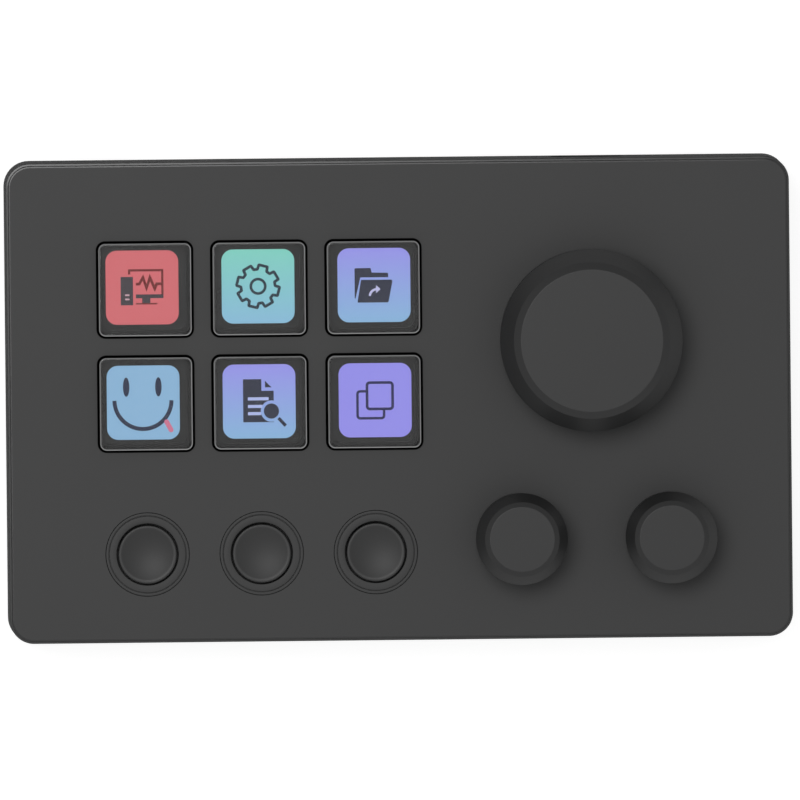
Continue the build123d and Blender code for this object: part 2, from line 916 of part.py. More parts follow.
def build_dials():
    for name, (x, y) in dial_spots.items():
        large = name == "large"
        height = large_knob_height if large else small_knob_height
        save(f"encoder_base_{name}", encoder_base(x, y))
        save(f"encoder_cover_{name}", encoder_cover(x, y))
        save(f"encoder_rotor_{name}", encoder_rotor(x, y))
        save(f"encoder_shaft_{name}", encoder_shaft(x, y, height))
        save(f"encoder_dome_{name}", encoder_dome(x, y))
        save(f"knob_{name}", large_knob(x, y) if large else small_knob(x, y))


os.makedirs("parts", exist_ok=True)
build_case()
build_electronics()
build_keys()
build_buttons()
build_dials()
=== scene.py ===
import json
import math

import bpy
import numpy as np
from mathutils import Matrix, Vector


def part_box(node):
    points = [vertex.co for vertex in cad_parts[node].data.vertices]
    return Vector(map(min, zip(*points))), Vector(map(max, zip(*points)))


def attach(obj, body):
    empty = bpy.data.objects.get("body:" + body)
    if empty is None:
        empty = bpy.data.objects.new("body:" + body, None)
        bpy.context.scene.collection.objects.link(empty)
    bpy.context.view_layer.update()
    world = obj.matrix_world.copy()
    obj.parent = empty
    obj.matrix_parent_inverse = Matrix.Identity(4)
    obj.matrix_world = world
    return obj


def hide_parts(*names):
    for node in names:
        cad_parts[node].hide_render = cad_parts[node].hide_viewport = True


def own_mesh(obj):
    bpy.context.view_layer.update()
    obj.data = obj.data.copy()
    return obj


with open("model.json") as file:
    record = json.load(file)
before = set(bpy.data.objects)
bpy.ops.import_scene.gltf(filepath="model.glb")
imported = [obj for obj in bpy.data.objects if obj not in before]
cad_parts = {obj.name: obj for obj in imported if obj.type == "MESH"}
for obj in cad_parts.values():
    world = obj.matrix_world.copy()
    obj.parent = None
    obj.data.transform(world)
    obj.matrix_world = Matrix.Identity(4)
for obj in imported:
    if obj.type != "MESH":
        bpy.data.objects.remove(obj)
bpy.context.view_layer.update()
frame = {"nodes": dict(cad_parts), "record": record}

# A flat keypad with six picture keys, three round buttons and three dials.
# Lengths in the settings are millimetres; meshes and lamps are in metres.

mm = 0.001
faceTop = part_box("faceplate")[1].z


def placed(node):
    # a node's middle in metres, and the heights of its bottom and top in millimetres
    low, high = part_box(node)
    return (low + high) / 2, low.z / mm, high.z / mm


def boxCentre(node):
    return placed(node)[0]


class Wire:
    # an output socket; sums of wires and numbers add Math nodes

    def __init__(self, finish, socket):
        self.finish = finish
        self.socket = socket

    def math(self, operation, *values):
        return self.finish.node("ShaderNodeMath", {"operation": operation}, values)

    def __add__(self, other):
        return self.math("ADD", self, other)

    def __radd__(self, other):
        return self.math("ADD", other, self)

    def __sub__(self, other):
        return self.math("SUBTRACT", self, other)

    def __rsub__(self, other):
        return self.math("SUBTRACT", other, self)

    def __mul__(self, other):
        return self.math("MULTIPLY", self, other)

    def __rmul__(self, other):
        return self.math("MULTIPLY", other, self)

    def __truediv__(self, other):
        return self.math("DIVIDE", self, other)

    def __rtruediv__(self, other):
        return self.math("DIVIDE", other, self)

    def __gt__(self, other):
        return self.math("GREATER_THAN", self, other)

    def __lt__(self, other):
        return self.math("LESS_THAN", self, other)

    def clipped(self):
        return self.math("MAXIMUM", self.math("MINIMUM", self, 1.0), 0.0)


class Finish:
    # the node tree of one material or of the world

    def __init__(self, owner):
        owner.use_nodes = True
        self.owner = owner
        self.tree = owner.node_tree
        self.tree.nodes.clear()

    def node(self, kind, settings=None, inputs=(), output=0):
        # settings first, then the inputs by name or in order, as values or wires
        made = self.tree.nodes.new(kind)
        for key, value in (settings or {}).items():
            setattr(made, key, value)
        pairs = inputs.items() if isinstance(inputs, dict) else enumerate(inputs)
        for key, value in pairs:
            if isinstance(value, Wire):
                self.tree.links.new(value.socket, made.inputs[key])
            else:
                made.inputs[key].default_value = value
        return Wire(self, made.outputs[output]) if made.outputs else None

    def place(self, kind="Object"):
        return self.node("ShaderNodeTexCoord", output=kind)

    def axes(self, vector):
        # the three numbers of a vector
        parts = self.node("ShaderNodeSeparateXYZ", inputs={"Vector": vector})
        return [Wire(self, output) for output in parts.socket.node.outputs]

    def noise(self, vector, size, detail=2.0, roughness=0.5):
        # 0..1 noise whose features are about size metres wide
        inputs = {"Vector": vector, "Scale": 1.0 / size, "Detail": detail, "Roughness": roughness}
        return self.node("ShaderNodeTexNoise", inputs=inputs)

    def blend(self, factor, first, second):
        # colour = first x (1 - factor) + second x factor
        inputs = {0: factor, 6: first, 7: second}
        return self.node("ShaderNodeMix", {"data_type": "RGBA"}, inputs, output=2)

    def bump(self, height, strength, distance):
        inputs = {"Height": height, "Strength": strength, "Distance": distance}
        return self.node("ShaderNodeBump", inputs=inputs)

    def surface(self, shader):
        self.node("ShaderNodeOutputMaterial", inputs={"Surface": shader})
        return self.owner

    def principled(self, inputs):
        return self.surface(self.node("ShaderNodeBsdfPrincipled", inputs=inputs))


def newFinish(name):
    return Finish(bpy.data.materials.new(name))


def grey(value, tint=0.0):
    # a neutral colour, cooler as tint grows
    return (value * (1.0 - tint), value, value * (1.0 + tint), 1.0)


def fromScreen(red, green, blue):
    # linear colour of an 8-bit screen colour
    values = [channel / 255 for channel in (red, green, blue)]
    linear = [v / 12.92 if v <= 0.04045 else ((v + 0.055) / 1.055) ** 2.4 for v in values]
    return np.array(linear)


def scaled(colour, share, lift=0.0):
    # a darker or lighter copy of a colour
    return tuple(channel * share + lift for channel in colour[:3]) + (1.0,)


moulding = {
    "driftSize": 18.0, "drift": 0.06,         # width and share of the slow change of colour
    "roughStart": -0.03, "roughDrift": 0.04, "roughGrain": 0.04,
    "coatRoughness": 0.2, "bump": 0.6,
}


def mouldedPlastic(name, colour, roughness, grain, grainDepth, specular=0.5, polished=None):
    # colour drifts slowly over centimetres; the grain is a fine noise bump;
    # polished = (low, high, roughness, coat) gives smooth, coated edges between two heights
    finish = newFinish(name)
    place = finish.place()
    drift = finish.noise(place, moulding["driftSize"] * mm, detail=3.0)
    fine = finish.noise(place, grain * mm, detail=3.0, roughness=0.6)
    dark = scaled(colour, 1 - moulding["drift"])
    light = scaled(colour, 1 + moulding["drift"])
    rough = roughness + moulding["roughStart"] + moulding["roughDrift"] * drift
    rough = rough + moulding["roughGrain"] * fine
    coat = 0.0
    if polished:
        low, high, smoothness, coating = polished
        x, y, z = finish.axes(place)
        edge = (z > low) * (z < high)
        rough = rough + edge * (smoothness - roughness)
        coat = edge * coating
    return finish.principled({
        "Base Color": finish.blend(drift, dark, light),
        "Roughness": rough,
        "Specular IOR Level": specular,
        "Coat Weight": coat,
        "Coat Roughness": moulding["coatRoughness"],
        "Normal": finish.bump(fine, moulding["bump"], grainDepth * mm),
    })


rubber = {
    "bloomSize": 3.0, "bloomStart": 0.45, "dust": 1.5, "dustLift": 0.004, "roughBloom": 0.08,
    "poreSize": 0.12, "poreDepth": 0.02, "bump": 0.5,
}


def softRubber(name, colour, roughness, specular=0.3):
    # matt rubber with a dusty bloom where a coarse noise is high
    finish = newFinish(name)
    place = finish.place()
    bloom = finish.noise(place, rubber["bloomSize"] * mm, detail=4.0, roughness=0.6)
    pores = finish.noise(place, rubber["poreSize"] * mm)
    dusty = scaled(colour, rubber["dust"], rubber["dustLift"])
    return finish.principled({
        "Base Color": finish.blend((bloom - rubber["bloomStart"]).clipped(), colour, dusty),
        "Roughness": roughness + rubber["roughBloom"] * bloom,
        "Specular IOR Level": specular,
        "Normal": finish.bump(pores, rubber["bump"], rubber["poreDepth"] * mm),
    })


metal = {
    "markSize": 1.0, "markDepth": 0.004, "dark": 0.85, "roughStart": -0.08, "roughMarks": 0.16,
    "bump": 0.3,
    "drawn": (0.05, 0.9, 0.9), "turned": (0.9, 0.9, 0.03),     # sizes of a mark along x, y and z
}


def brushedMetal(name, colour, roughness, grain=metal["drawn"]):
    # stretched noise gives the drawing marks of sheet or bar stock
    finish = newFinish(name)
    scale = tuple(1.0 / axis for axis in grain)
    stretched = finish.node("ShaderNodeMapping", inputs={"Vector": finish.place(), "Scale": scale})
    marks = finish.noise(stretched, metal["markSize"] * mm, detail=4.0, roughness=0.65)
    return finish.principled({
        "Base Color": finish.blend(marks, scaled(colour, metal["dark"]), colour),
        "Roughness": roughness + metal["roughStart"] + metal["roughMarks"] * marks,
        "Metallic": 1.0,
        "Normal": finish.bump(marks, metal["bump"], metal["markDepth"] * mm),
    })


paintedHighlightSettings = {
    "middle": 0.5, "gain": 0.7, "towards": (0.7, -0.7),        # bearing of the side that gets the most painted highlight
    "rough": 0.28, "roughGrain": 0.04, "grainSize": 0.1, "grainDepth": 0.002, "bump": 0.6,
}


def paintedHighlightFinish(name, near, far):
    # painted highlight: a light grey base colour, from near to far as the normal turns towards the
    # given bearing, stands for the light a clear cap's edge catches
    finish = newFinish(name)
    towards = paintedHighlightSettings["towards"]
    x, y, z = finish.axes(finish.node("ShaderNodeNewGeometry", output="Normal"))
    paintedHighlightShare = (paintedHighlightSettings["middle"] + paintedHighlightSettings["gain"] * (x * towards[0] + y * towards[1])).clipped()
    grain = finish.noise(finish.place(), paintedHighlightSettings["grainSize"] * mm, detail=3.0, roughness=0.6)
    return finish.principled({
        "Base Color": finish.blend(paintedHighlightShare, grey(near, 0.01), grey(far, 0.01)),
        "Roughness": paintedHighlightSettings["rough"] + paintedHighlightSettings["roughGrain"] * grain,
        "Normal": finish.bump(grain, paintedHighlightSettings["bump"], paintedHighlightSettings["grainDepth"] * mm),
    })


clearMoulding = {"ior": 1.46, "waveSize": 5.0, "waveDepth": 0.01, "bump": 0.05}


def clearPlastic(name, tint, roughness):
    # clear moulded plastic with a very slight waviness
    finish = newFinish(name)
    waves = finish.noise(finish.place(), clearMoulding["waveSize"] * mm, detail=1.0)
    return finish.principled({
        "Base Color": tint,
        "Roughness": roughness,
        "IOR": clearMoulding["ior"],
        "Transmission Weight": 1.0,
        "Normal": finish.bump(waves, clearMoulding["bump"], clearMoulding["waveDepth"] * mm),
    })


board = {
    "pitch": 1.6, "gap": 0.72, "bendSize": 9.0, "bend": 2.0, "half": 0.45,
    "rough": 0.32, "roughTracks": 0.06, "trackDepth": 0.02, "bump": 0.5,
}


def circuitLaminate(name, mask, copper):
    # solder mask over copper: tracks are thin bands along x or y, bent by a coarse noise
    finish = newFinish(name)
    place = finish.place()
    x, y, z = finish.axes(place)
    bend = finish.noise(place, board["bendSize"] * mm, detail=0.0)
    pitch = board["pitch"] * mm
    column = (x / pitch + board["bend"] * bend).math("FRACT") > board["gap"]
    row = (y / pitch + board["bend"] * bend).math("FRACT") > board["gap"]
    tracks = (column * (bend > board["half"]) + row * (bend < board["half"])).clipped()
    return finish.principled({
        "Base Color": finish.blend(tracks, mask, copper),
        "Roughness": board["rough"] + board["roughTracks"] * tracks,
        "Normal": finish.bump(tracks, board["bump"], board["trackDepth"] * mm),
    })


pane = {"rough": 0.08, "roughSmear": 0.08, "smearSize": 7.0, "specular": 0.12}


def displayGlass(name, colour):
    # a black, almost smooth pane with faint smears
    finish = newFinish(name)
    smear = finish.noise(finish.place(), pane["smearSize"] * mm, detail=3.0)
    return finish.principled({
        "Base Color": colour,
        "Roughness": pane["rough"] + pane["roughSmear"] * smear,
        "Specular IOR Level": pane["specular"],
    })


pixels = {"pitch": 0.18, "gap": 0.1, "dimmed": 0.25, "dark": 0.006, "rough": 0.4, "specular": 0.1}


def litPicture(name, topColour, lowColour, lowY, highY):
    # light = colour from low to top x a faint pixel grid
    finish = newFinish(name)
    pitch = pixels["pitch"] * mm
    x, y, z = finish.axes(finish.place())
    rise = ((y - lowY) / (highY - lowY)).clipped()
    across = (x / pitch).math("FRACT") < pixels["gap"]
    along = (y / pitch).math("FRACT") < pixels["gap"]
    mesh = across.math("MAXIMUM", across, along)
    colour = finish.blend(rise, (*lowColour, 1.0), (*topColour, 1.0))
    return finish.principled({
        "Base Color": grey(pixels["dark"]),
        "Roughness": pixels["rough"],
        "Specular IOR Level": pixels["specular"],
        "Emission Color": finish.blend(mesh * pixels["dimmed"], colour, grey(0.0)),
        "Emission Strength": 1.0,
    })


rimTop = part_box("top_case")[1].z
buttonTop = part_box("button_cap_left")[1].z
# polished edges: lowest and highest height, roughness and coat
rimEdge = (rimTop - 0.062 * mm, rimTop + mm, 0.25, 0.85)
plateEdge = (0.0, faceTop - 0.0005 * mm, 0.22, 0.15)
buttonEdge = (buttonTop - 0.08 * mm, buttonTop + mm, 0.40, 0.0)
# name, colour, roughness, width and depth of the grain, shine, polished edge
casePlastic = mouldedPlastic("caseMoulding", grey(0.030, 0.01), 0.85, 0.30, 0.012, 0.12, rimEdge)
platePlastic = mouldedPlastic("faceSatin", grey(0.021, 0.01), 0.50, 0.22, 0.006, 0.5, plateEdge)
knobPlastic = mouldedPlastic("knobSatin", grey(0.023, 0.01), 0.39, 0.16, 0.003, 0.37)
# painted shade: the knob's bevels are darker copies of the knob plastic, with less shine, so the
# rings read darker than the top
knobBevelShaded = mouldedPlastic("knobBevelShadedSatin", grey(0.022, 0.01), 0.40, 0.16, 0.003, 0.34)
knobSideShaded = mouldedPlastic("knobSideShadedSatin", grey(0.018, 0.01), 0.42, 0.16, 0.003, 0.20)
buttonPlastic = mouldedPlastic(
    "buttonSatin", grey(0.021, 0.01), 0.46, 0.16, 0.003, 0.46, buttonEdge
)
bezelPlastic = mouldedPlastic("bezelSatin", grey(0.021, 0.01), 0.50, 0.18, 0.004)
blackPlastic = mouldedPlastic("blackMoulding", grey(0.018), 0.5, 0.25, 0.008)
whitePlastic = mouldedPlastic("naturalMoulding", (0.70, 0.69, 0.64, 1.0), 0.4, 0.3, 0.006)
chipPlastic = mouldedPlastic("chipMoulding", grey(0.022), 0.6, 0.08, 0.006)
# painted highlight on the clear caps' edges, a light grey base colour
paintedHighlightEdge = paintedHighlightFinish("paintedHighlightEdge", 0.20, 0.36)
dimEdge = mouldedPlastic("dimEdge", grey(0.022, 0.01), 0.3, 0.1, 0.002)
# painted shade: black without shine on the caps' walls and flanges, so the gap round each key reads
# black
paintedShadeSkirt = mouldedPlastic("paintedShadeSkirt", grey(0.003), 0.9, 0.1, 0.002, 0.0)
footRubber = softRubber("footRubber", grey(0.016), 0.8)
silicone = softRubber("blackSilicone", grey(0.003), 0.9, 0.0)
blackScrew = brushedMetal("blackScrew", grey(0.07), 0.4)
sheetSteel = brushedMetal("sheetSteel", grey(0.52), 0.34)
springSteel = brushedMetal("springSteel", grey(0.60), 0.25)
coverSteel = brushedMetal("coverSteel", grey(0.46), 0.4)
turnedMetal = brushedMetal("turnedMetal", grey(0.60), 0.28, metal["turned"])
goldContact = brushedMetal("goldContact", (0.85, 0.62, 0.25, 1.0), 0.25)
clearCap = clearPlastic("clearCap", (0.97, 0.98, 0.98, 1.0), 0.03)
lightGuide = mouldedPlastic("lightGuide", (0.78, 0.79, 0.80, 1.0), 0.3, 0.4, 0.002)
laminate = circuitLaminate("solderMask", (0.006, 0.014, 0.010, 1.0), (0.014, 0.035, 0.024, 1.0))
filmOrange = mouldedPlastic("amberFilm", (0.32, 0.14, 0.03, 1.0), 0.3, 0.5, 0.003)
blackGlass = displayGlass("displayGlass", grey(0.006))
print("finishes made")


sharpAngle = 30.0     # degrees between faces, from which an edge is drawn sharp


def meshObject(name, points, faces, materials, faceMaterial=None):
    # points (n, 3) in metres; faces a list of index arrays, one row per face
    counts = np.concatenate([np.full(len(group), group.shape[1]) for group in faces])
    corners = np.concatenate([group.ravel() for group in faces]).astype(np.int32)
    starts = np.concatenate([[0], np.cumsum(counts)[:-1]]).astype(np.int32)
    mesh = bpy.data.meshes.new(name)
    mesh.vertices.add(len(points))
    mesh.vertices.foreach_set("co", np.asarray(points, np.float32).ravel())
    mesh.loops.add(len(corners))
    mesh.loops.foreach_set("vertex_index", corners)
    mesh.polygons.add(len(counts))
    mesh.polygons.foreach_set("loop_start", starts)
    for material in materials:
        mesh.materials.append(material)
    if faceMaterial is not None:
        mesh.polygons.foreach_set("material_index", np.asarray(faceMaterial, np.int32))
    mesh.update(calc_edges=True)
    mesh.validate()
    mesh.shade_smooth()
    mesh.set_sharp_from_angle(angle=math.radians(sharpAngle))
    made = bpy.data.objects.new(name, mesh)
    bpy.context.scene.collection.objects.link(made)
    return made


def gridFaces(rows, columns, closedRows=False):
    # quads of a rows x columns grid whose columns close on themselves, and its rows if asked
    row = np.arange(rows if closedRows else rows - 1)
    r, c = np.meshgrid(row, np.arange(columns), indexing="ij")
    below = (r + 1) % rows
    beside = (c + 1) % columns
    quads = np.stack(
        [r * columns + c, r * columns + beside, below * columns + beside, below * columns + c], -1
    )
    return quads.reshape(-1, 4)


def fan(centre, ring, flip):
    # triangles from a centre point to a closed ring of points
    following = np.roll(ring, -1)
    hub = np.full(len(ring), centre)
    order = (hub, following, ring) if flip else (hub, ring, following)
    return np.stack(order, -1)


def bar(x0, y0, x1, y1):
    # the corners of a rectangle, anticlockwise
    return [(x0, y0), (x1, y0), (x1, y1), (x0, y1)]


def boxFaces(count):
    # the sides of count boxes, each given by its bottom's and then its top's corners
    ends = [[3, 2, 1, 0], [4, 5, 6, 7]]
    box = np.array(ends + [[0, 1, 5, 4], [1, 2, 6, 5], [2, 3, 7, 6], [3, 0, 4, 7]])
    return (np.arange(count)[:, None, None] * 8 + box).reshape(-1, 4)


def softened(points, radii, steps=6):
    # a polyline with corner i turned into an arc of radius radii[i]
    made = []
    for index, (corner, radius) in enumerate(zip(points, radii)):
        corner = np.array(corner, float)
        if radius <= 0:
            made.append(corner[None])
            continue
        before = np.array(points[index - 1], float) - corner
        after = np.array(points[(index + 1) % len(points)], float) - corner
        before /= np.linalg.norm(before)
        after /= np.linalg.norm(after)
        half = math.acos(float(np.clip(before @ after, -1, 1))) / 2
        bisector = (before + after) / np.linalg.norm(before + after)
        centre = corner + bisector * radius / math.sin(half)
        start = corner + before * radius / math.tan(half) - centre
        end = corner + after * radius / math.tan(half) - centre
        sweep = math.pi - 2 * half
        share = np.linspace(0, 1, steps + 1)[:, None]
        arc = np.sin((1 - share) * sweep) * start + np.sin(share * sweep) * end
        made.append(centre + arc / math.sin(sweep))
    return np.concatenate(made)


def roundedLoop(halfX, halfY, radius, steps=10):
    # corner arcs joined by straight sides, anticlockwise from the right side; sizes may be arrays
    angle = np.linspace(0, math.pi / 2, steps + 1)
    turns = np.arange(4)[:, None] * math.pi / 2 + angle
    signX = np.array([1, -1, -1, 1])[:, None]
    signY = np.array([1, 1, -1, -1])[:, None]
    x = signX * (halfX - radius) + radius * np.cos(turns)
    y = signY * (halfY - radius) + radius * np.sin(turns)
    return np.stack([x, y], -1).reshape(*x.shape[:-2], -1, 2)


def squareRings(half, corner, section, centre, steps=10):
    # P(i, j) = centre + a rounded square grown by d_i, at height z_i; section = rows of d, z
    grow = section[:, 0, None, None]
    loops = roundedLoop(half + grow, half + grow, corner + grow, steps) * mm + np.array(centre[:2])
    heights = np.broadcast_to(section[:, 1, None, None] * mm, (*loops.shape[:2], 1))
    return np.concatenate([loops, heights], -1)


def looped(name, rings, materials):
    # rings (k, n, 3) whose last joins the first
    faces = gridFaces(*rings.shape[:2], closedRows=True)[:, ::-1]
    return meshObject(name, rings.reshape(-1, 3), [faces], materials)


def lofted(name, rings, ends, materials, bands=None):
    # rings (k, n, 3) from the top down, with a fan to each end point; bands = material per row
    count, size = rings.shape[:2]
    points = np.concatenate([rings.reshape(-1, 3), ends])
    first = np.arange(size)
    last = (count - 1) * size + first
    quads = gridFaces(count, size)[:, ::-1]
    faces = [quads, fan(count * size, first, False), fan(count * size + 1, last, True)]
    if bands is not None:
        bands = np.concatenate([np.repeat(bands, size), np.zeros(2 * size, int)])
    return meshObject(name, points, faces, materials, bands)


def turned(name, profile, centre, materials, sectors, bands=None):
    # P(i, a) = centre + (r_i cos a, r_i sin a, z_i); the profile runs from pole to pole,
    # outwards and down from the top, or is a closed loop if it starts off the axis
    angle = np.arange(sectors) * 2 * math.pi / sectors
    radius, height = np.asarray(profile, float).T * mm
    x = centre[0] + radius[:, None] * np.cos(angle)
    y = centre[1] + radius[:, None] * np.sin(angle)
    rings = np.stack([x, y, np.repeat(height[:, None], sectors, 1)], -1)
    if radius[0] > 0:
        return looped(name, rings, materials)
    return lofted(name, rings[1:-1], rings[[0, -1], 0], materials, bands)


def joined(name, pieces):
    # several objects made into one
    bpy.ops.object.select_all(action="DESELECT")
    for piece in pieces:
        piece.select_set(True)
    bpy.context.view_layer.objects.active = pieces[0]
    bpy.ops.object.join()
    pieces[0].name = name
    return pieces[0]


def fit(piece, body, slotName, *nodes):
    # a finished piece rides on its body and stands for the nodes it replaces
    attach(piece, body)
    if nodes:
        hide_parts(*nodes)


smallKnob = {
    "top": 5.4, "edge": 6.2, "body": 7.65,
    "edgeDrop": 0.45, "sideDrop": 1.9, "wall": 1.2, "ribs": 3,
}
knobShape = {
    "large": {
        "top": 11.85, "edge": 13.0, "body": 15.2,
        "edgeDrop": 0.6, "sideDrop": 2.8, "wall": 1.8, "ribs": 6,
    },
    "left": smallKnob,
    "right": smallKnob,
}
knobInside = {
    "roof": 1.4, "bore": 3.02, "bossWall": 1.3, "rib": 1.0, "ribReach": 0.05,
    "soft": 0.25, "foot": 0.3, "footInset": 0.2, "innerEdge": 0.2, "boreEdge": 0.1,
    "flatEnd": 0.12,     # a ring this far inside the edge keeps the top's shading flat
}


def makeKnob(side):
    # a turned body with two bevels, hollow below, with a boss and flat ribs inside
    shape = knobShape[side]
    centre, bottom, top = placed(f"knob_{side}")
    roof = top - shape["edgeDrop"] - shape["sideDrop"] - knobInside["roof"]
    inner = shape["body"] - shape["wall"]
    boss = knobInside["bore"] + knobInside["bossWall"]
    boreTop = top - knobInside["roof"]
    soft = knobInside["soft"]
    small = knobInside["boreEdge"]
    corners = [
        (0, top), (shape["top"] - knobInside["flatEnd"], top), (shape["top"], top),
        (shape["edge"], top - shape["edgeDrop"]),
        (shape["body"], top - shape["edgeDrop"] - shape["sideDrop"]),
        (shape["body"] - knobInside["footInset"], bottom), (inner, bottom),
        (inner, roof), (boss, roof), (boss, bottom),
        (knobInside["bore"], bottom), (knobInside["bore"], boreTop), (0, boreTop),
    ]
    outside = [0, 0, soft, soft, soft, knobInside["foot"]]
    section = softened(corners, outside + [knobInside["innerEdge"], 0, 0, small, small, 0, 0])
    middle = (section[1:-2] + section[2:-1]) / 2
    # bands: the top, the inner bevel and the outer bevel, the bevels with painted shade
    bands = (middle[:, 0] > shape["top"]).astype(int) + (middle[:, 0] > shape["edge"])
    knob = turned(f"{side}Knob", section, centre, [knobPlastic, knobBevelShaded, knobSideShaded], 192, bands)
    ribs = makeRibs(f"{side}KnobRibs", centre, boss, inner, bottom, roof, shape["ribs"])
    fit(knob, f"dial_{side}", "knob_plastic", f"knob_{side}")
    fit(ribs, f"dial_{side}", "knob_plastic")


def makeRibs(name, centre, boss, inner, bottom, roof, count):
    # one flat box per rib, turned about the axis: P = centre + Rz(2 pi k / count) corner
    reach = knobInside["ribReach"]
    half = knobInside["rib"] / 2
    plan = bar(boss - reach, -half, inner + reach, half)
    corners = np.array([(*corner, z) for z in (bottom + reach, roof) for corner in plan]) * mm
    angle = np.arange(count)[:, None] * 2 * math.pi / count
    x = corners[:, 0] * np.cos(angle) - corners[:, 1] * np.sin(angle)
    y = corners[:, 0] * np.sin(angle) + corners[:, 1] * np.cos(angle)
    z = np.broadcast_to(corners[:, 2], x.shape)
    points = np.stack([centre[0] + x, centre[1] + y, z], -1).reshape(-1, 3)
    return meshObject(name, points, [boxFaces(count)], [knobPlastic])


for side in knobShape:
    makeKnob(side)
print("dials made")


capShape = {
    "half": 7.8, "corner": 1.2, "edge": 0.4,
    "flange": 0.9, "flangeHeight": 1.0, "flangeEdge": 0.1, "root": 0.05,
    "core": 1.1,                 # inset of the innermost ring
    "flatEnd": 0.02,             # a ring this far inside the edge keeps the top's shading flat
    "paintedHighlightInsets": (0.08, 0.27),      # insets between which the edge gets the painted highlight
    "paintedShadeFrom": 0.01,           # height above the bottom where the painted shade on the wall and flange starts
}


def makeCap(number):
    # offset copies of the cap's outline: P(i, j) = outline grown by d_i, at height z_i
    centre, bottom, top = placed(f"key_cap_{number}")
    edge = capShape["edge"]
    reach = capShape["flange"]
    step = bottom + capShape["flangeHeight"]
    core = -capShape["core"]
    corners = [
        (core, top), (-edge - capShape["flatEnd"], top), (0, top), (0, step),
        (reach, step), (reach, bottom), (core, bottom),
    ]
    radii = [0, 0, edge, capShape["root"], capShape["flangeEdge"], capShape["flangeEdge"], 0]
    section = softened(corners, radii, 12)
    rings = squareRings(capShape["half"], capShape["corner"], section, centre)
    ends = [(*centre[:2], top * mm), (*centre[:2], bottom * mm)]
    middle = (section[:-1] + section[1:]) / 2
    inset = -middle[:, 0]
    near, far = capShape["paintedHighlightInsets"]
    # bands: the clear top, a painted highlight band, an opaque darker band inside it
    onEdge = (middle[:, 1] > top - edge) & (inset < edge)
    # painted shade: the wall and flange, so the gap round the key reads black
    onPaintedShade = (middle[:, 1] > bottom + capShape["paintedShadeFrom"]) & (inset < near)
    bands = np.select([onEdge & (inset > far), onEdge & (inset > near), onPaintedShade], [2, 1, 3], 0)
    materials = [clearCap, paintedHighlightEdge, dimEdge, paintedShadeSkirt]
    cap = lofted(f"clearCap{number}", rings, ends, materials, bands)
    fit(cap, f"key_{number}", "clear_plastic", f"key_cap_{number}")


for number in range(1, 7):
    makeCap(number)
print("caps made")


buttonSides = ("left", "middle", "right")
buttonShape = {
    "radius": 4.86, "dish": 4.4, "dishDepth": 0.65, "edge": 0.2, "root": 0.05,
    "flange": 6.3, "flangeHeight": 1.0, "stem": 2.0, "flangeEdge": 0.1,
}


def makeButton(side):
    # a dish r -> top - depth + r^2 / (R + sqrt(R^2 - r^2)), a soft rim, a flange and a stem
    centre, bottom, top = placed(f"button_cap_{side}")
    dish = buttonShape["dish"]
    depth = buttonShape["dishDepth"]
    ball = (dish**2 + depth**2) / (2 * depth)
    r = np.linspace(0, dish, 24)
    bowl = np.column_stack([r, top - depth + r**2 / (ball + np.sqrt(ball**2 - r**2))])
    names = ("radius", "flange", "stem", "flangeEdge")
    radius, flange, stem, small = (buttonShape[name] for name in names)
    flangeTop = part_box("key_cap_1")[0].z / mm + capShape["flangeHeight"]     # level with the caps'
    flangeLow = flangeTop - buttonShape["flangeHeight"]
    corners = [
        (dish, top), (radius, top), (radius, flangeTop), (flange, flangeTop),
        (flange, flangeLow), (stem, flangeLow), (stem, bottom), (0, bottom),
    ]
    radii = [0, buttonShape["edge"], buttonShape["root"], small, small, small, small, 0]
    profile = np.concatenate([bowl, softened(corners, radii)[1:]])
    cap = turned(f"{side}Button", profile, centre, [buttonPlastic], 128)
    fit(cap, f"button_{side}", "button_plastic", f"button_cap_{side}")


bezelShape = {
    "outer": 6.95, "inner": 5.14, "edge": 0.1, "foot": 0.05,
    "groove": 6.42, "grooveWidth": 0.16, "grooveDepth": 0.3, "grooveLip": 0.04, "grooveRoot": 0.03,
}


def makeBezels():
    # three rings in one piece: a closed section with a fine groove, turned about each button
    bottom, top = placed("button_bezels")[1:]
    outer = bezelShape["outer"]
    inner = bezelShape["inner"]
    grooveOut = bezelShape["groove"] + bezelShape["grooveWidth"] / 2
    grooveIn = bezelShape["groove"] - bezelShape["grooveWidth"] / 2
    floor = top - bezelShape["grooveDepth"]
    corners = [
        (inner, top), (grooveIn, top), (grooveIn, floor), (grooveOut, floor),
        (grooveOut, top), (outer, top), (outer, bottom), (inner, bottom),
    ]
    edge, foot, lip, root = (bezelShape[key] for key in ("edge", "foot", "grooveLip", "grooveRoot"))
    section = softened(corners, [edge, lip, root, root, lip, edge, foot, foot], 5)
    rings = [
        turned(f"bezel{side}", section, boxCentre(f"button_cap_{side}"), [bezelPlastic], 128)
        for side in buttonSides
    ]
    fit(joined("buttonBezels", rings), "housing", "bezel_plastic", "button_bezels")


for side in buttonSides:
    makeButton(side)
makeBezels()
print("buttons made")


screenSettings = {
    "pitchX": 19.37, "pitchY": 19.227,        # from picture to picture
    "shiftX": -0.07, "shiftY": 0.155,         # of the whole set, from the middle of the keys
    "halfX": 6.08, "halfY": 6.19, "corner": 1.9,
    "tileHeight": 0.03, "lineHeight": 0.02,
    "veil": 0.045, "passed": 0.93,            # what the clear cap adds and lets through
    "darkest": 0.004,
}

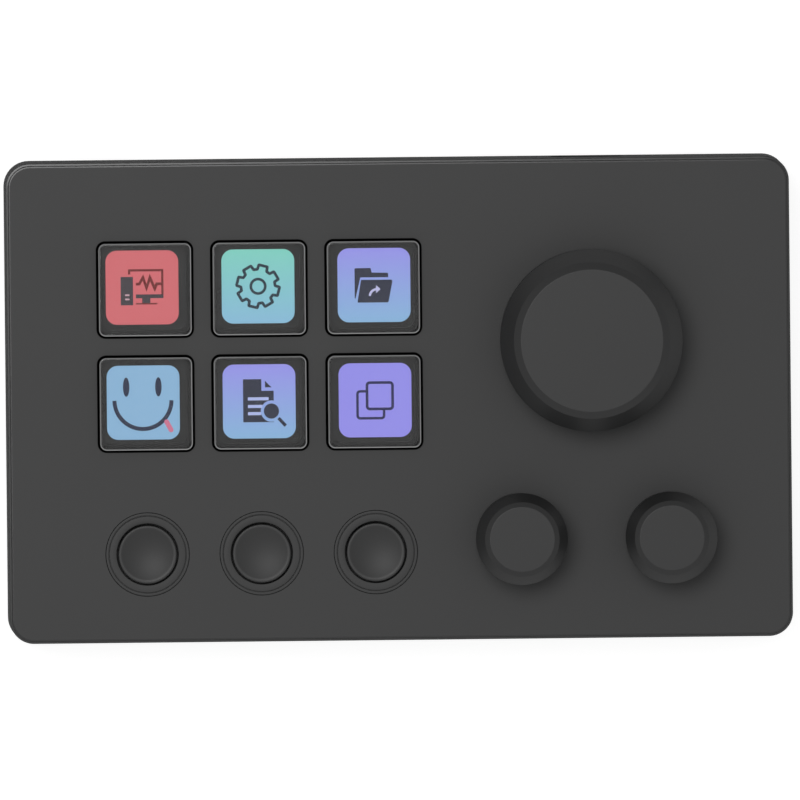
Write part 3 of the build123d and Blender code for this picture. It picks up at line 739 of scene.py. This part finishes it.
# colours of the tile's top and bottom, of dark and light lines, and of one more kind of line
tileColours = {
    1: ((207, 112, 117), (207, 112, 117), (78, 74, 78), (200, 165, 175), (118, 52, 60)),
    2: ((133, 206, 192), (140, 186, 214), (28, 72, 80), (133, 206, 192)),
    3: ((153, 150, 229), (140, 180, 216), (64, 66, 78), (190, 190, 226)),
    4: ((141, 179, 211), (141, 179, 211), (42, 66, 82), (202, 118, 144)),
    5: ((153, 150, 229), (140, 180, 216), (64, 66, 78), (176, 186, 230)),
    6: ((150, 145, 230), (150, 145, 230), (46, 46, 92), (150, 145, 230)),
}


def emitted(screenColour):
    # the light behind the cap that shows as this colour in front of it
    shown = fromScreen(*screenColour) - screenSettings["veil"]
    return tuple(np.maximum(shown, screenSettings["darkest"]) / screenSettings["passed"])


def slabs(outlines, low, high, material):
    # each outline becomes a thin closed plate: bottom, top and a wall
    pieces = []
    for outline in outlines:
        outline = np.asarray(outline, float)
        following = np.roll(outline, -1, 0)
        if (outline[:, 0] * following[:, 1] - following[:, 0] * outline[:, 1]).sum() < 0:
            outline = outline[::-1]     # anticlockwise, so that the faces look outwards
        count = len(outline)
        flats = [np.column_stack([outline, np.full(count, z)]) for z in (high, low)]
        top = np.arange(count)[None]
        walls = gridFaces(2, count)[:, ::-1]
        pieces.append((np.concatenate(flats), [top, top[:, ::-1] + count, walls], material))
    return pieces


sharpestMitre = 0.35     # lowest cosine of half a bend, so that a sharp corner stays short


def stroke(path, width, low, high, material, closed=False):
    # a flat bar carried along the path: P(i, k) = path_i + side_k x width / 2 x mitre_i
    path = np.asarray(path, float)
    if closed:
        before = path - np.roll(path, 1, 0)
        after = np.roll(path, -1, 0) - path
    else:
        steps = np.diff(path, axis=0)
        before = np.concatenate([steps[:1], steps])
        after = np.concatenate([steps, steps[-1:]])
    before /= np.linalg.norm(before, axis=1)[:, None]
    after /= np.linalg.norm(after, axis=1)[:, None]
    mean = before + after
    mean /= np.linalg.norm(mean, axis=1)[:, None]
    across = np.column_stack([-mean[:, 1], mean[:, 0]])
    mitre = 1 / np.maximum((mean * after).sum(1), sharpestMitre)
    offset = across * (mitre * width / 2)[:, None]
    left = path + offset
    right = path - offset
    count = len(path)
    corners = ((left, low), (left, high), (right, high), (right, low))
    section = [np.column_stack([side, np.full(count, z)]) for side, z in corners]
    points = np.stack(section, 1).reshape(-1, 3)
    faces = [gridFaces(count, 4, closedRows=closed)]
    if not closed:
        first = np.array([[0, 1, 2, 3]])
        faces += [first[:, ::-1], first + (count - 1) * 4]
    return [(points, faces, material)]


def ring(x, y, radius, count=48, start=0, end=360, radiusY=None):
    # points (x + r cos a, y + r' sin a), a in degrees; a whole turn leaves out its end
    angle = np.radians(np.linspace(start, end, count, endpoint=end - start < 360))
    return np.column_stack([x + radius * np.cos(angle), y + (radiusY or radius) * np.sin(angle)])


def capsule(start, end, radius):
    # two half circles joined by straight sides
    angle = math.degrees(math.atan2(end[1] - start[1], end[0] - start[0]))
    far = ring(*end, radius, 12, angle - 90, angle + 90)
    near = ring(*start, radius, 12, angle + 90, angle + 270)
    return np.concatenate([far, near])


# A sign gives its pieces, between two heights, each with the number of its finish:
# 0 dark, 1 light, 2 tile, 3 deep. Places are millimetres from the tile's middle.
computer = {
    "tower": bar(-3.58, -2.94, -1.51, 1.79), "chin": bar(-1.05, -1.79, 3.56, -1.15),
    "neck": bar(0.0, -2.6, 1.37, -1.79), "base": bar(-1.05, -2.84, 2.52, -2.59),
    "frame": [(-2.14, 2.19), (-2.14, 2.88), (3.39, 2.88), (3.39, -1.15)], "frameWidth": 0.38,
    "pulse": [(-1.05, 0.58), (-0.47, 0.58), (0.16, 1.66), (0.74, -0.08),
              (1.31, 1.66), (2.12, -0.2), (2.45, 0.60), (3.22, 0.60)], "pulseWidth": 0.46,
    "slots": [bar(-2.87, y, -2.11, y + 0.28) for y in (-1.4, -2.1)], "slotSoft": 0.13,
}


def computerSign(low, high):
    # a tower with two slots, and a screen with a pulse
    pieces = slabs([computer["tower"], computer["chin"], computer["neck"]], low, high, 0)
    pieces += slabs([computer["base"]], low, high, 3)
    pieces += stroke(computer["frame"], computer["frameWidth"], low, high, 3)
    pieces += stroke(computer["pulse"], computer["pulseWidth"], low, high, 3)
    slots = [softened(slot, [computer["slotSoft"]] * 4, 4) for slot in computer["slots"]]
    return pieces + slabs(slots, high, 2 * high - low, 1)


gear = {
    "teeth": 8, "outer": 3.6, "root": 2.85, "phase": 75.5, "soft": 0.1, "width": 0.48,
    "flanks": (-0.36, -0.26, 0.26, 0.36),     # feet and heads of a tooth, in shares of the pitch
    "hub": 1.2, "hubWidth": 0.46,
}


def gearOutline():
    # the radius steps between root and outer, with sloped flanks
    pitch = 2 * math.pi / gear["teeth"]
    middles = math.radians(gear["phase"]) + np.arange(gear["teeth"])[:, None] * pitch
    angle = (middles + np.array(gear["flanks"]) * pitch).ravel()
    radius = np.tile([gear["root"], gear["outer"], gear["outer"], gear["root"]], gear["teeth"])
    return np.column_stack([radius * np.cos(angle), radius * np.sin(angle)])


def gearSign(low, high):
    # a toothed ring round a smaller one
    corners = gearOutline()
    outline = softened(corners, [gear["soft"]] * len(corners), 3)
    pieces = stroke(outline, gear["width"], low, high, 0, closed=True)
    return pieces + stroke(ring(0, 0, gear["hub"]), gear["hubWidth"], low, high, 0, closed=True)


folder = {
    "back": [(-3.23, 2.85), (-0.55, 2.85), (-0.37, 2.10), (2.39, 2.04),
             (2.39, 1.3), (-2.27, 1.3), (-3.1, -2.2), (-3.23, -2.2)],
    "backSoft": [0.2, 0.15, 0, 0.2, 0, 0, 0, 0],
    "front": [(-2.16, 0.89), (3.14, 0.89), (2.39, -2.91), (-2.79, -2.91)],
    "frontSoft": [0.15, 0.25, 0.25, 0.15],
    "bend": (0.45, -1.85, 1.15), "bendWidth": 0.38,      # middle and radius
    "arrow": [(0.33, 0.0), (0.33, -1.36), (1.1, -0.68)],
}


def folderSign(low, high):
    # an open folder with a bent arrow
    back = softened(folder["back"], folder["backSoft"], 3)
    front = softened(folder["front"], folder["frontSoft"], 3)
    top = 2 * high - low
    bend = ring(*folder["bend"], 14, 178, 94)
    pieces = slabs([back, front], low, high, 0) + stroke(bend, folder["bendWidth"], high, top, 1)
    return pieces + slabs([folder["arrow"]], high, top, 1)


smile = {
    "eyes": (-2.83, 2.55), "eyeY": 2.61, "eyeHalf": (0.54, 1.61),
    "mouth": (-0.05, 0.35, 4.76), "mouthWidth": 0.68,    # middle and radius
    "tongue": ((3.87, -3.25), (4.6, -4.6), 0.4),         # ends and radius
}


def smileSign(low, high):
    # two oval eyes, a half circle and a short tongue
    halfX, halfY = smile["eyeHalf"]
    eyes = [ring(x, smile["eyeY"], halfX, 32, radiusY=halfY) for x in smile["eyes"]]
    mouth = ring(*smile["mouth"], 48, 180, 360)
    pieces = slabs(eyes, low, high, 0) + stroke(mouth, smile["mouthWidth"], low, high, 0)
    return pieces + slabs([capsule(*smile["tongue"])], high, 2 * high - low, 1)


search = {
    "page": [(-2.69, 3.71), (0.39, 3.71), (0.39, 1.76),
             (2.43, 1.76), (2.43, -3.48), (-2.69, -3.48)],
    "fold": [(0.99, 3.43), (0.99, 2.33), (2.08, 2.33)],
    "linesFrom": -1.89, "lineEnds": ((0.43, 1.57), (-0.84, 0.53), (-2.04, 0.30)), "lineHalf": 0.26,
    "lens": (2.03, -1.64), "lensGap": 1.78, "lensRadius": 1.27,
    "grip": [(3.2, -2.82), (4.39, -4.12)], "gripWidth": 0.56,
}


def searchSign(low, high):
    # a folded page with three lines, under a lens
    middle = 2 * high - low
    top = 3 * high - 2 * low
    half = search["lineHalf"]
    lines = [bar(search["linesFrom"], y - half, x, y + half) for y, x in search["lineEnds"]]
    pieces = slabs([search["page"], search["fold"]], low, high, 0)
    pieces += slabs(lines, high, middle, 1)
    pieces += slabs([ring(*search["lens"], search["lensGap"])], high, middle, 2)
    pieces += slabs([ring(*search["lens"], search["lensRadius"])], middle, top, 0)
    return pieces + stroke(search["grip"], search["gripWidth"], middle, top, 0)


sheets = {
    "half": (2.13, 2.2), "corner": 0.46, "middle": (0.79, 0.73), "width": 0.45,
    "back": [(-1.4, 1.49), (-2.95, 1.49), (-2.95, -3.02), (1.48, -3.02), (1.48, -1.6)],
    "backWidth": 0.42,
}


def copySign(low, high):
    # the outline of a sheet, and of one behind it
    corner = sheets["corner"]
    front = roundedLoop(*sheets["half"], corner, 6) + np.array(sheets["middle"])
    back = softened(sheets["back"], [0, corner, corner, corner, 0])
    pieces = stroke(front, sheets["width"], low, high, 0, closed=True)
    return pieces + stroke(back, sheets["backWidth"], low, high, 0)


signs = {1: computerSign, 2: gearSign, 3: folderSign, 4: smileSign, 5: searchSign, 6: copySign}


def joinPieces(name, pieces, centre, materials):
    # puts flat pieces, in millimetres about the tile's middle, into one mesh
    points = []
    faces = []
    kinds = []
    start = 0
    for local, groups, material in pieces:
        points.append(local * mm + np.array([*centre, 0.0]))
        for group in groups:
            faces.append(group + start)
            kinds.append(np.full(len(group), material))
        start += len(local)
    return meshObject(name, np.concatenate(points), faces, materials, np.concatenate(kinds))


def makePicture(number):
    # a lit tile on the glass with its sign: centre = field + (column x pitch, row x pitch)
    column = (number - 1) % 3 - 1
    row = (number - 1) // 3
    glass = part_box("screen_glass")[1].z / mm
    field = (boxCentre("key_cap_1") + boxCentre("key_cap_6")) / 2
    centre = (
        field.x + (screenSettings["shiftX"] + column * screenSettings["pitchX"]) * mm,
        field.y + (screenSettings["shiftY"] + (0.5 - row) * screenSettings["pitchY"]) * mm,
    )
    halfX, halfY, corner = (screenSettings[key] for key in ("halfX", "halfY", "corner"))
    span = (centre[1] - halfY * mm, centre[1] + halfY * mm)
    top, low, *lines = (emitted(colour) for colour in tileColours[number])
    tileFinish = litPicture(f"tileLight{number}", top, low, *span)
    dark, light, *deep = [
        litPicture(f"line{kind}{number}", colour, colour, *span)
        for kind, colour in zip(("Dark", "Light", "Deep"), lines)
    ]
    outline = roundedLoop(halfX, halfY, corner, 12)
    tileTop = glass + screenSettings["tileHeight"]
    tile = joinPieces(f"picture{number}", slabs([outline], glass, tileTop, 0), centre, [tileFinish])
    drawn = signs[number](tileTop, tileTop + screenSettings["lineHeight"])
    sign = joinPieces(f"sign{number}", drawn, centre, [dark, light, tileFinish, *deep])
    fit(tile, "housing", "screen_glass")
    fit(sign, "housing", "screen_glass")


for number in signs:
    makePicture(number)
print("pictures made")


footShape = {
    "radius": 5.0, "edge": 0.35, "soft": 0.1,
    "dimple": 3.6, "dimpleSlope": 0.3, "dimpleDepth": 0.15,
}


def makeFeet():
    # turned discs with a soft lower edge and a shallow dimple below
    low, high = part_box("rubber_feet")
    bottom = low.z / mm
    top = high.z / mm
    radius = footShape["radius"]
    dimple = footShape["dimple"]
    roof = bottom + footShape["dimpleDepth"]
    soft = footShape["soft"]
    corners = [
        (0, top), (radius, top), (radius, bottom),
        (dimple + footShape["dimpleSlope"], bottom), (dimple, roof), (0, roof),
    ]
    profile = softened(corners, [0, soft, footShape["edge"], soft, soft, 0])
    reach = radius * mm
    feet = [
        turned("foot", profile, (x, y), [footRubber], 96)
        for x in (low.x + reach, high.x - reach)
        for y in (low.y + reach, high.y - reach)
    ]
    fit(joined("rubberFeet", feet), "housing", "foot_rubber", "rubber_feet")


makeFeet()
print("feet made")


contactShape = {
    "count": 12, "pitch": 0.5, "width": 0.28, "length": 3.4, "height": 0.03, "fromEnd": 0.5,
    "tongueHalf": 0.35,
}


def makeContacts():
    # rows of gilt strips on both sides of the tongue: P = corner + step_k along x
    low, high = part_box("usb_socket_tongue")
    middleX = (low.x + high.x) / 2
    middleZ = boxCentre("usb_socket_shell").z
    count = contactShape["count"]
    half = contactShape["width"] * mm / 2
    outY = high.y - contactShape["fromEnd"] * mm
    inY = outY - contactShape["length"] * mm
    plan = bar(-half, inY, half, outY)
    steps = (np.arange(count) - (count - 1) / 2) * contactShape["pitch"] * mm
    moves = np.stack([middleX + steps, steps * 0, steps * 0], -1)
    near = contactShape["tongueHalf"] * mm
    far = near + contactShape["height"] * mm
    points = []
    for side in (-1, 1):
        levels = sorted((middleZ + side * near, middleZ + side * far))
        corners = np.array([(*corner, z) for z in levels for corner in plan])
        points.append((corners + moves[:, None]).reshape(-1, 3))
    faces = [boxFaces(2 * count)]
    contacts = meshObject("socketContacts", np.concatenate(points), faces, [goldContact])
    fit(contacts, "housing", "socket_steel")


makeContacts()
print("contacts made")


collarShape = {"wall": 1.0, "corner": 2.2, "soft": 0.15, "keep": 0.49}


def makeCollar(number):
    # a wall round the key, closed on itself: P(i, j) = outline grown by d_i, at height z_i
    low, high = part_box(f"key_collar_{number}")
    centre = (low + high) / 2
    bottom = low.z / mm
    top = high.z / mm
    half = (high.x - low.x) / 2 / mm
    wall = collarShape["wall"]
    corners = [(0, top), (0, bottom), (-wall, bottom), (-wall, top)]
    section = softened(corners, [collarShape["soft"]] * 4, 4)
    rings = squareRings(half, collarShape["corner"], section, centre, 6)
    collar = looped(f"siliconeCollar{number}", rings, [silicone])
    fit(collar, "housing", "silicone", f"key_collar_{number}")
    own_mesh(collar)


domeShape = {
    "switch": {"radius": 1.4, "wall": 0.1, "keep": 0.14},
    "encoder": {"radius": 2.4, "wall": 0.15, "keep": 0.35},
}
domeJoint = {
    "switch": {side: f"button_{side}_press" for side in buttonSides},
    "encoder": {side: f"dial_{side}_push" for side in knobShape},
}


def makeDome(kind, side):
    # a thin cap of a ball: R = (r^2 + h^2) / 2h, outer and inner skin, turned about the axis
    shape = domeShape[kind]
    low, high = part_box(f"{kind}_dome_{side}")
    centre = (low + high) / 2
    height = (high.z - low.z) / mm
    ball = (shape["radius"] ** 2 + height**2) / (2 * height)
    skin = ball - shape["wall"]
    depth = ball - height
    outer = np.linspace(0, math.acos(depth / ball), 12)
    inner = np.linspace(math.acos(depth / skin), 0, 12)
    radius = np.concatenate([ball * np.sin(outer), skin * np.sin(inner)])
    rise = np.concatenate([ball * np.cos(outer), skin * np.cos(inner)])
    profile = np.column_stack([radius, high.z / mm - ball + rise])
    dome = turned(f"{kind}Dome{side}", profile, centre, [springSteel], 48)
    fit(dome, "housing", "spring_steel", f"{kind}_dome_{side}")
    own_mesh(dome)


for number in range(1, 7):
    makeCollar(number)
for kind, joints in domeJoint.items():
    for side, joint in joints.items():
        makeDome(kind, side)
print("springs made")


slotFinish = {
    "case_plastic": casePlastic,
    "faceplate_plastic": platePlastic,
    "foot_rubber": footRubber,
    "screw_steel": blackScrew,
    "board_laminate": laminate,
    "chip_plastic": chipPlastic,
    "socket_steel": sheetSteel,
    "black_plastic": blackPlastic,
    "backlight_plastic": lightGuide,
    "screen_glass": blackGlass,
    "flex_film": filmOrange,
    "silicone": silicone,
    "bezel_plastic": bezelPlastic,
    "clear_plastic": clearCap,
    "button_plastic": buttonPlastic,
    "white_plastic": whitePlastic,
    "spring_steel": springSteel,
    "cover_steel": coverSteel,
    "shaft_metal": turnedMetal,
    "knob_plastic": knobPlastic,
}
for entry in frame["record"]["subparts"]:
    node = frame["nodes"][entry["node"]]
    finish = slotFinish[entry["material_slot"]]
    if not node.material_slots:
        node.data.materials.append(finish)
    for place in node.material_slots:
        place.material = finish
print("packed solids finished")


cameraSettings = {
    "imageSide": 800,
    "pixelsPerMm": 5.993,        # at the height of the face
    "faceCentre": (399.6, 400.2),
    "turn": 0.61,                # degrees, clockwise from above
    "lean": (-0.0235, 0.0270),   # slope of the view line to the left and the rear
    "lens": 1200.0,
    "sensor": 36.0,
    "clip": (0.05, 40.0),
}


def makeCamera():
    # looks down the view line at the middle of the face, from lens / sensor x width of the view
    side = cameraSettings["imageSide"]
    scale = cameraSettings["pixelsPerMm"] / mm
    turn = math.radians(cameraSettings["turn"])
    back = Vector((*cameraSettings["lean"], 1.0)).normalized()
    right = Vector((math.cos(turn), -math.sin(turn), 0.0))
    right = (right - back * right.dot(back)).normalized()
    up = back.cross(right)
    shiftRight = (side / 2 - cameraSettings["faceCentre"][0]) / scale
    shiftUp = (cameraSettings["faceCentre"][1] - side / 2) / scale
    aim = Vector((0, 0, faceTop)) + right * shiftRight + up * shiftUp
    distance = cameraSettings["lens"] / cameraSettings["sensor"] * side / scale
    data = bpy.data.cameras.new("camera")
    data.lens = cameraSettings["lens"]
    data.sensor_width = cameraSettings["sensor"]
    data.clip_start, data.clip_end = cameraSettings["clip"]
    camera = bpy.data.objects.new("camera", data)
    turnMatrix = Matrix((right, up, back)).transposed().to_4x4()
    camera.matrix_world = Matrix.Translation(aim + back * distance) @ turnMatrix
    bpy.context.scene.collection.objects.link(camera)
    bpy.context.scene.camera = camera


lampSettings = {"power": 0.25, "distance": 1.0, "radius": 0.22, "zenith": 15.0, "azimuth": 131.0}


def makeLamp():
    # a round softbox; power pi^2 d^2 e lights a level face to e
    zenith = math.radians(lampSettings["zenith"])
    azimuth = math.radians(lampSettings["azimuth"])
    lean = math.sin(zenith)
    towards = Vector((lean * math.cos(azimuth), lean * math.sin(azimuth), math.cos(zenith)))
    data = bpy.data.lights.new("softbox", "AREA")
    data.shape = "DISK"
    data.size = 2 * lampSettings["radius"]
    data.energy = lampSettings["power"] * (math.pi * lampSettings["distance"]) ** 2
    lamp = bpy.data.objects.new("softbox", data)
    lamp.location = towards * lampSettings["distance"]
    lamp.rotation_mode = "QUATERNION"
    lamp.rotation_quaternion = towards.to_track_quat("Z", "Y")
    lamp.visible_camera = False
    bpy.context.scene.collection.objects.link(lamp)


skySettings = {
    "level": 0.52, "rise": 0.12, "slope": 0.20, "towards": (0.05, -1.0),
    "band": 0.05, "fade": 0.05,      # height and width of the white band's upper edge
}


def makeSky():
    # light = level + rise x z + slope x (direction . towards), white in a band at the horizon
    world = bpy.data.worlds.new("studioSky")
    bpy.context.scene.world = world
    sky = Finish(world)
    x, y, z = sky.axes(sky.place("Generated"))
    towards = skySettings["towards"]
    lean = x * towards[0] + y * towards[1]
    level = skySettings["level"] + skySettings["rise"] * z + skySettings["slope"] * lean
    above = ((z - skySettings["band"]) / skySettings["fade"]).clipped()
    light = level * above + (1.0 - above)
    colour = sky.node("ShaderNodeCombineColor", {"mode": "RGB"}, (light, light, light))
    shade = sky.node("ShaderNodeBackground", inputs={"Color": colour, "Strength": 1.0})
    sky.node("ShaderNodeOutputWorld", inputs={"Surface": shade})


floorSettings = {"half": 9.0, "colour": 0.40, "mottle": 0.01, "mottleSize": 0.6, "glow": 0.80}


def makeFloor():
    # a level sheet; to the camera, gloss and glass it glows a little, so it reads as white
    half = floorSettings["half"]
    points = [(*corner, 0) for corner in bar(-half, -half, half, half)]
    finish = newFinish("studioFloor")
    rays = finish.node("ShaderNodeLightPath").socket.node.outputs
    kinds = ("Camera", "Glossy", "Transmission")
    camera, gloss, glass = (Wire(finish, rays[f"Is {kind} Ray"]) for kind in kinds)
    mottle = finish.noise(finish.place(), floorSettings["mottleSize"], detail=1.0)
    low = floorSettings["colour"]
    colour = finish.blend(mottle, grey(low), grey(low + floorSettings["mottle"]))
    paper = finish.node("ShaderNodeBsdfDiffuse", inputs={"Color": colour})
    strength = floorSettings["glow"] * (camera + gloss + glass).clipped()
    glow = finish.node("ShaderNodeEmission", inputs={"Color": grey(1.0), "Strength": strength})
    finish.surface(finish.node("ShaderNodeAddShader", inputs=(paper, glow)))
    floor = meshObject("floor", points, [np.array([[0, 1, 2, 3]])], [finish.owner])


makeCamera()
makeLamp()
makeSky()
makeFloor()
bpy.context.scene.view_settings.view_transform = "Standard"
print("studio made")
